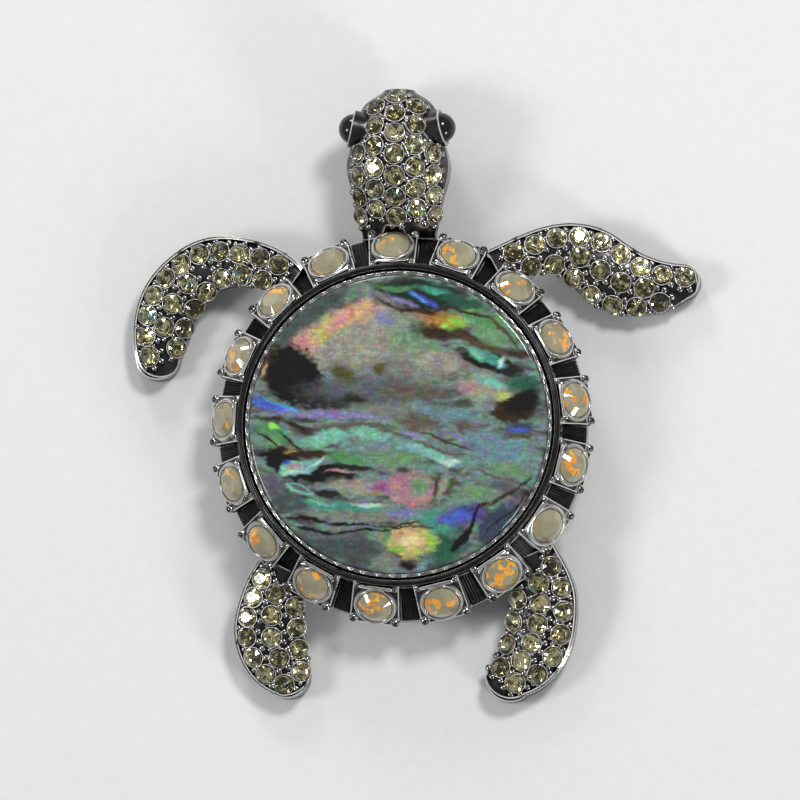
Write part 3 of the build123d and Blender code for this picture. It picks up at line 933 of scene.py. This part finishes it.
    ("black", 0.5, -8.3, 1.8, 0.09, 3, 0.4),
    ("black", -6.8, -8.7, 1.9, 0.13, -11, 0.3),
    ("black", -3.1, -8.9, 2.2, 0.14, 3, 0.3),
    ("soot", -0.3, -8.6, 1.4, 0.1, 5, 0.4),
    ("umber", 10.3, -5.1, 1.2, 0.12, 30, 0.4),
    ("umber", 8.6, -6.2, 1.5, 0.14, 34, 0.4),
    ("umber", 6.9, -7.1, 1.0, 0.14, 30, 0.4),
    ("black", 6.2, -8.3, 1.4, 0.16, 65, 0.3),
    ("black", 5.2, -9.7, 1.3, 0.4, 42, 0.2),
    ("soot", 9.2, -7.3, 2.7, 0.1, 46, 0.4),
    ("stone", -0.8, -11.5, 1.1, 0.6, 0, 0.4),
    ("black", 0.9, -11.7, 0.7, 0.25, -5, 0.4),
]

# The ground under the patches: its tints, and the noise value that each stands at
ground = [
    ("umber", -0.9),
    ("slate", -0.5),
    ("stone", -0.2),
    ("sea", 0.0),
    ("sage", 0.2),
    ("ash", 0.45),
    ("moss", 0.8),
]


# How the shell's layers run, in millimetres: how far its points drift with a broad and
# a small noise, how much those noises, the layers and the ragged edges are squeezed
# across and up, how far the layers slant, and how ragged an edge is. The seed keeps
# the drift the same each time.
shell_seed = 13
broad_drift = 0.45
broad_squeeze = 0.4
small_drift = (0.16, 0.13)
small_squeeze = (2.0, 2.6)
layer_squeeze = (0.28, 0.95)
layer_slant = 0.05
ragged_squeeze = (1.3, 2.6)
ragged_reach = 0.24


def seen(tint):
    """A tint as it looks on screen, made linear for a shader."""
    return (*[(level / 255) ** 2.2 for level in tints[tint]], 1)


def smooth_step(value, low, high):
    """0 below one value and 1 above another, with a soft step between them."""
    share = np.clip((value - low) / (high - low), 0, 1)
    return share * share * (3 - 2 * share)


def squeezed(across, up, squeeze, height):
    """A place in the noise; each height is a noise of its own."""
    return Vector((across * squeeze[0], up * squeeze[1], height))


def wander(across, up):
    """Where a point of the shell drifts to, how far it is through the ground's layers
    and how ragged a patch's edge is there."""
    broad = noise.noise_vector(squeezed(across, up, (broad_squeeze, broad_squeeze), 3.0))
    small = noise.noise_vector(squeezed(across, up, small_squeeze, 7.0))
    new_across = across + (broad_drift * broad.x + small_drift[0] * small.x)
    new_up = up + (broad_drift * broad.y + small_drift[1] * small.y)
    flat = squeezed(new_across, new_up, layer_squeeze, 1.0)
    flat.x += up * layer_slant
    layer = noise.fractal(flat, 0.8, 2.1, 4)
    ragged = noise.fractal(squeezed(across, up, ragged_squeeze, 5.0), 0.8, 2.0, 3)
    return new_across, new_up, layer, ragged_reach * ragged


def lay_shell_layers(disc):
    """The cabochon's colours: its patches laid over each other on every corner point."""
    noise.seed_set(shell_seed)
    places = np.array([(v.co.x - shell_x, v.co.y - shell_y) for v in disc.data.vertices]) / MM
    drifted_across, drifted_up, layer, ragged = np.array([wander(*place) for place in places]).T
    stops = [stop for tint, stop in ground]
    shades = [seen(tint)[:3] for tint, stop in ground]
    colours = np.array([np.interp(layer, stops, channel) for channel in zip(*shades)]).T
    for tint, across, up, half_length, half_width, turn, softness in patches:
        lean = radians(turn)
        x = drifted_across - across
        y = drifted_up - up
        along = (x * cos(lean) + y * sin(lean)) / half_length
        over = (y * cos(lean) - x * sin(lean)) / half_width
        reach = np.hypot(along, over) + ragged
        mask = 1 - smooth_step(reach, 1 - softness, 1 + softness)
        colours += mask[:, None] * (np.array(seen(tint)[:3]) - colours)
    painted = np.ones((len(places), 4))
    painted[:, :3] = colours
    attribute = disc.data.color_attributes.new("shell_layers", "FLOAT_COLOR", "POINT")
    attribute.data.foreach_set("color", painted.ravel())


def abalone_finish():
    """Layers of shell under clear resin."""
    material, tree = new_material("abalone_shell")
    to_middle = {
        "Vector": object_place(tree),
        "Location": (-shell_x / MM, -shell_y / MM, 0),
        "Scale": (1 / MM, 1 / MM, 0),
    }
    centred = add(tree, "ShaderNodeMapping", to_middle).outputs[0]
    drift = noise_map(tree, centred, scale=0.45, detail=2.0)["Color"]
    drift = vector_maths(tree, "SUBTRACT", drift, (0.5, 0.5, 0.5))[0]
    drift = vector_maths(tree, "MULTIPLY", drift, (0.8, 1.0, 0))[0]
    warped = vector_maths(tree, "ADD", centred, drift)[0]
    drawn_out = {"Vector": warped, "Scale": (0.3, 1.0, 1), "Rotation": (0, 0, 0.12)}
    flat = add(tree, "ShaderNodeMapping", drawn_out).outputs[0]

    fine = noise_map(tree, flat, scale=3.0, detail=3.0, roughness=0.6)[0]
    mottle = noise_map(tree, flat, scale=2.6, detail=3.0, roughness=0.6)[0]
    shimmer = noise_map(tree, warped, scale=1.3, detail=1.5)
    scales = cell_map(tree, warped, scale=3.4, feature="SMOOTH_F1")["Distance"]

    layers = add(tree, "ShaderNodeAttribute", attribute_name="shell_layers").outputs["Color"]
    light = spread(tree, fine, (0.3, 0.7), (0.76, 1.08))
    light = maths(tree, "MULTIPLY", light, spread(tree, scales, (0.05, 0.5), (1.12, 0.84)))
    varied = {
        "Hue": spread(tree, shimmer[0], (0.25, 0.75), (0.48, 0.52)),
        "Value": light,
        "Color": blend(tree, 0.55, layers, shimmer["Color"], "OVERLAY"),
    }
    colour = add(tree, "ShaderNodeHueSaturation", varied).outputs[0]
    speck = spread(tree, mottle, (0.58, 0.78), (0.0, 0.35))
    inputs = {
        "Base Color": blend(tree, speck, colour, seen("soot")),
        "Roughness": spread(tree, fine, (0.3, 0.7), (0.3, 0.5)),
        "Normal": relief(tree, fine, 0.04 * MM, 0.3),
        "Specular IOR Level": 0.08,
        "Coat Weight": 1.0,
        "Coat Roughness": 0.03,
    }
    return shade(material, inputs)


abalone_shell = abalone_finish()

# Pieces


def dress_frame():
    """Finishes of the CAD nodes that stay."""
    finishes = {
        "cast_frame": casting_metal,
        "bar_pin": pin_metal,
        "eye_left": black_glass,
        "eye_right": black_glass,
    }
    for name, material in finishes.items():
        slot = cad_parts[name].material_slots[0]
        slot.link = "OBJECT"
        slot.material = material


def dome_height(ring):
    """The dome's height over its foot, at a ring counted from the middle."""
    return dome_rise * (1 - (ring / dome_rings) ** 2)


def shell_cabochon():
    """The round cabochon, with a rounded shoulder and a low dome."""
    height = disc_high.z - disc_low.z - dome_rise
    bpy.ops.mesh.primitive_cylinder_add(
        vertices=disc_corners,
        radius=disc_radius,
        depth=height,
        end_fill_type="NGON",
        location=(shell_x, shell_y, disc_low.z + height / 2),
    )
    disc = finished(bpy.context.object, "shell_cabochon")
    edit(disc)
    pick(disc, "polygons", faces_up)
    top = disc_high.z - dome_rise
    draw_out(0, (disc_radius - shoulder) / disc_radius, (shell_x, shell_y, top))
    for ring in range(dome_rings - 1, 0, -1):
        climb = dome_height(ring) - dome_height(ring + 1)
        draw_out(climb, ring / (ring + 1), (shell_x, shell_y, top + dome_height(ring)))
    last_climb = dome_height(0) - dome_height(1)
    bpy.ops.mesh.extrude_region_move(TRANSFORM_OT_translate={"value": (0, 0, last_climb)})
    bpy.ops.mesh.merge(type="CENTER")

    def on_shoulder(index):
        point = disc.data.vertices[index].co
        reach = hypot(point.x - shell_x, point.y - shell_y)
        return abs(point.z - top) < 0.0001 * MM and reach > disc_radius * 0.995

    pick(disc, "edges", lambda edge: all(on_shoulder(index) for index in edge.vertices))
    bpy.ops.mesh.bevel(
        offset=shoulder * shoulder_rounding, segments=shoulder_steps, affect="EDGES"
    )
    bpy.ops.object.mode_set(mode="OBJECT")
    bpy.ops.object.shade_smooth_by_angle(angle=radians(smooth_below))
    lay_shell_layers(disc)
    mount(disc, abalone_shell)
    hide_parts("abalone_disc")


def milky_stones():
    """The faceted milky stones in the boxes."""
    model = cut_stone(opal_radius, **opal_cut)
    for number in range(1, box_count + 1):
        name = "opal_%02d" % number
        stone = lay(model, [stone_place(islands(name)[0])], "milky_stone_%02d" % number)
        mount(stone, milky_opal)
        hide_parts(name)
    put_away(model)


def small_stones():
    """The fields of small cut stones, foiled below the girdle, and where each sits."""
    model = cut_stone(pave_radius, **pave_cut)
    model.data.materials.append(smoke_glass)
    model.data.materials.append(smoke_foil)
    for face in model.data.polygons:
        face.material_index = 1 if face.normal.z < -0.05 else 0
    seats = {}
    for name in fields:
        seats[name] = [stone_place(points) for points in islands(name)]
        field = lay(model, seats[name], name.replace("pave", "stones"))
        mount(field)
        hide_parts(name)
    put_away(model)
    return seats


def setting_rims(seats):
    """A thin rim round the seat of each small stone."""
    rim = wire_ring(pave_radius + seat_rim_wire, seat_rim_wire, segments=24, sides=6)
    sink = Matrix.Translation((0, 0, -seat_rim_sink))
    for name, places in seats.items():
        rims = lay(rim, [place @ sink for place in places], name.replace("pave", "seat_rims"))
        mount(rims, bright_metal)
    put_away(rim)


def metal_surface():
    """The casting's surface, to find where a bead sits."""
    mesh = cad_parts["cast_frame"].data
    corners = [v.co.copy() for v in mesh.vertices]
    return BVHTree.FromPolygons(corners, [tuple(face.vertices) for face in mesh.polygons])


def is_clear(point, size, beads):
    """Whether a bead of a size stands clear of those found before it."""
    return all((point - other).length > bead_radius * (size + was) for other, _, was in beads)


def bead_seats(places, surface):
    """Where beads stand on the metal between a field's stones: point, normal and size."""
    middles = [place.translation for place in places]
    found = []
    for size in bead_sizes:
        stand_off = pave_radius + bead_radius * size * bead_overlap
        for place in places:
            normal = place.col[2].to_3d()
            for step in range(bead_turns):
                turn = 2 * pi * step / bead_turns
                spot = place @ Vector((stand_off * cos(turn), stand_off * sin(turn), 0))
                nearest = min((spot - middle).length for middle in middles)
                if nearest < stand_off * bead_slack:
                    continue
                hit, facing, _, depth = surface.ray_cast(spot + normal * bead_ray_start, -normal)
                if hit is None or not least_bead_depth < depth < most_bead_depth:
                    continue
                if facing.dot(normal) < least_bead_facing:
                    continue
                if is_clear(hit, size, found):
                    found.append((hit, facing, size))
    return found


def setting_beads(seats, surface):
    """Raised beads on the metal between the small stones, large ones where there is room."""
    ball = bead(bead_radius)
    for name, places in seats.items():
        found = bead_seats(places, surface)
        beads = [place_on(point, normal, size=size) for point, normal, size in found]
        mount(lay(ball, beads, name.replace("pave", "beads")), bright_metal)
    put_away(ball)


def on_box(place, side, up_slope, lift=0):
    """A place on a box's top."""
    return place @ Matrix.Translation((side, up_slope, box_rise + lift))


def box_trim():
    """Beads, bars and bezel lips of the boxes."""
    models = {
        "bezels": wire_ring(opal_radius + bezel_gap, bezel_wire, segments=40, sides=8),
        "corner_beads": bead(corner_bead_radius, rings=10, segments=18),
        "inner_beads": bead(inner_bead_radius, rings=8, segments=16),
        "filler_beads": bead(filler_bead_radius),
        "bars": rounded_bar(bar_size),
        "bar_feet": rounded_bar(bar_foot_size),
    }
    laid = {name: [] for name in models}
    for place in box_places():
        inner = box_inner_length(place)
        bar_y = inner - box_bury - bar_back
        laid["bezels"].append(on_box(place, 0, -seat_offset, bezel_lift))
        laid["bars"].append(on_box(place, 0, bar_y, bar_lift))
        for side in (-1, 1):
            x = side * (box_outer_half - bead_inset)
            laid["corner_beads"].append(on_box(place, x, bead_inset - box_outer_length))
            x = side * (box_inner_half - bead_inset)
            laid["inner_beads"].append(on_box(place, x, inner - bead_inset))
            if bar_y - (opal_radius - seat_offset) > filler_bead_room:
                x = side * filler_bead_side
                y = bar_y - filler_bead_back
                laid["filler_beads"].append(on_box(place, x, y, filler_bead_lift))
            else:
                x = side * bar_foot_side
                turn = Matrix.Rotation(radians(side * bar_foot_turn + 90), 4, "Z")
                foot = on_box(place, x, bar_y - bar_foot_back, bar_foot_lift) @ turn
                laid["bar_feet"].append(foot)
    for name, model in models.items():
        finish = bright_metal if name == "bezels" else polished_metal
        mount(lay(model, laid[name], name), finish)
        put_away(model)


def channel_ribs():
    """Fine ribs that run down the slope between the boxes."""
    rib = rounded_bar(rib_size)
    places = []
    for i in range(box_count):
        middle = radians(first_box_angle + (i + 0.5) * box_step)
        for step in ribs_a_channel:
            turn = middle + radians(step * rib_step)
            top = slope_point(turn, rib_end)
            foot = slope_point(turn, 1 - rib_end)
            along = foot - top
            place = place_on((top + foot) / 2, tangent(turn).cross(along), along)
            places.append(place @ Matrix.Diagonal((along.length, rib_thinning, rib_thinning, 1)))
    mount(lay(rib, places, "channel_ribs"), channel_metal)
    put_away(rib)


def cup_trim():
    """The ring round the disc and the scalloped lip that holds it."""
    middle = (groove_radius + ring_radius) / 2
    ring = wire_ring(middle, ring_wire, segments=192, sides=12)
    ring.location = (shell_x, shell_y, seat_z + ring_height - ring_sink)
    mount(finished(ring, "polished_ring"), channel_metal)
    scallop = bead(0.5, rings=8)
    places = []
    for i in range(scallop_count):
        turn = 2 * pi * i / scallop_count
        spot = round_shell(turn, lip_radius - scallop_inset, seat_z + lip_height)
        length = long_scallop if i % 3 else short_scallop
        size = Matrix.Diagonal((length, scallop_width, scallop_height, 1))
        places.append(place_on(spot, Vector((0, 0, 1)), tangent(turn)) @ size)
    mount(lay(scallop, places, "scalloped_lip"), bright_metal)
    put_away(scallop)


# Studio


def floor_finish():
    """Plain pale card with a faint tooth."""
    card = (0.68, 0.68, 0.67, 1), (0.74, 0.74, 0.73, 1)
    material, tree = new_material("pale_card")
    tooth = noise_map(tree, object_place(tree), scale=900.0, detail=4.0)[0]
    return shade(material, {"Base Color": blend(tree, tooth, *card), "Roughness": 0.85})


def lay_floor():
    """A pale floor."""
    bpy.ops.mesh.primitive_plane_add(size=1.6, location=(0, 0, 0))
    floor = bpy.context.object
    floor.name = "floor"
    floor.data.materials.append(floor_finish())


def light_studio():
    """Four soft lamps that look at the brooch, and a faint cool light all round."""
    lamps = [
        # name, from, size, power
        ("key", Vector((0.16, 0.20, 0.34)), 0.10, 0.95),
        ("fill", Vector((-0.30, -0.05, 0.26)), 0.12, 0.52),
        ("low_side", Vector((0.26, -0.22, 0.14)), 0.08, 0.45),
        ("back", Vector((-0.10, 0.34, 0.16)), 0.10, 0.45),
    ]
    for name, spot, size, power in lamps:
        lamp = bpy.data.lights.new(name, "AREA")
        lamp.shape = "DISK"
        lamp.size = size
        lamp.energy = power
        holder = bpy.data.objects.new(name, lamp)
        holder.location = spot
        holder.rotation_euler = (-spot).to_track_quat("-Z", "Y").to_euler()
        bpy.context.collection.objects.link(holder)
    world = bpy.data.worlds.new("studio")
    world.use_nodes = True
    sky = world.node_tree.nodes["Background"]
    feed(world.node_tree, sky, {"Color": (0.92, 0.95, 1.0, 1), "Strength": 0.3})
    bpy.context.scene.world = world
    bpy.context.scene.view_settings.view_transform = "Standard"


def aim_camera():
    """The camera, with a long lens."""
    back = Vector((view_side, view_down, 1)).normalized()
    up = (Vector((0, 1, 0)) - back * back.y).normalized()
    turn = Matrix((up.cross(back), up, back)).transposed().to_4x4()
    lens = bpy.data.cameras.new("camera")
    lens.sensor_width = sensor_width
    lens.lens = sensor_width * view_distance / view_width
    lens.clip_start = 0.01
    camera = bpy.data.objects.new("camera", lens)
    camera.matrix_world = Matrix.Translation(view_middle + back * view_distance) @ turn
    bpy.context.collection.objects.link(camera)
    bpy.context.scene.camera = camera


dress_frame()
shell_cabochon()
milky_stones()
stone_seats = small_stones()
setting_rims(stone_seats)
setting_beads(stone_seats, metal_surface())
box_trim()
channel_ribs()
cup_trim()
lay_floor()
light_studio()
aim_camera()
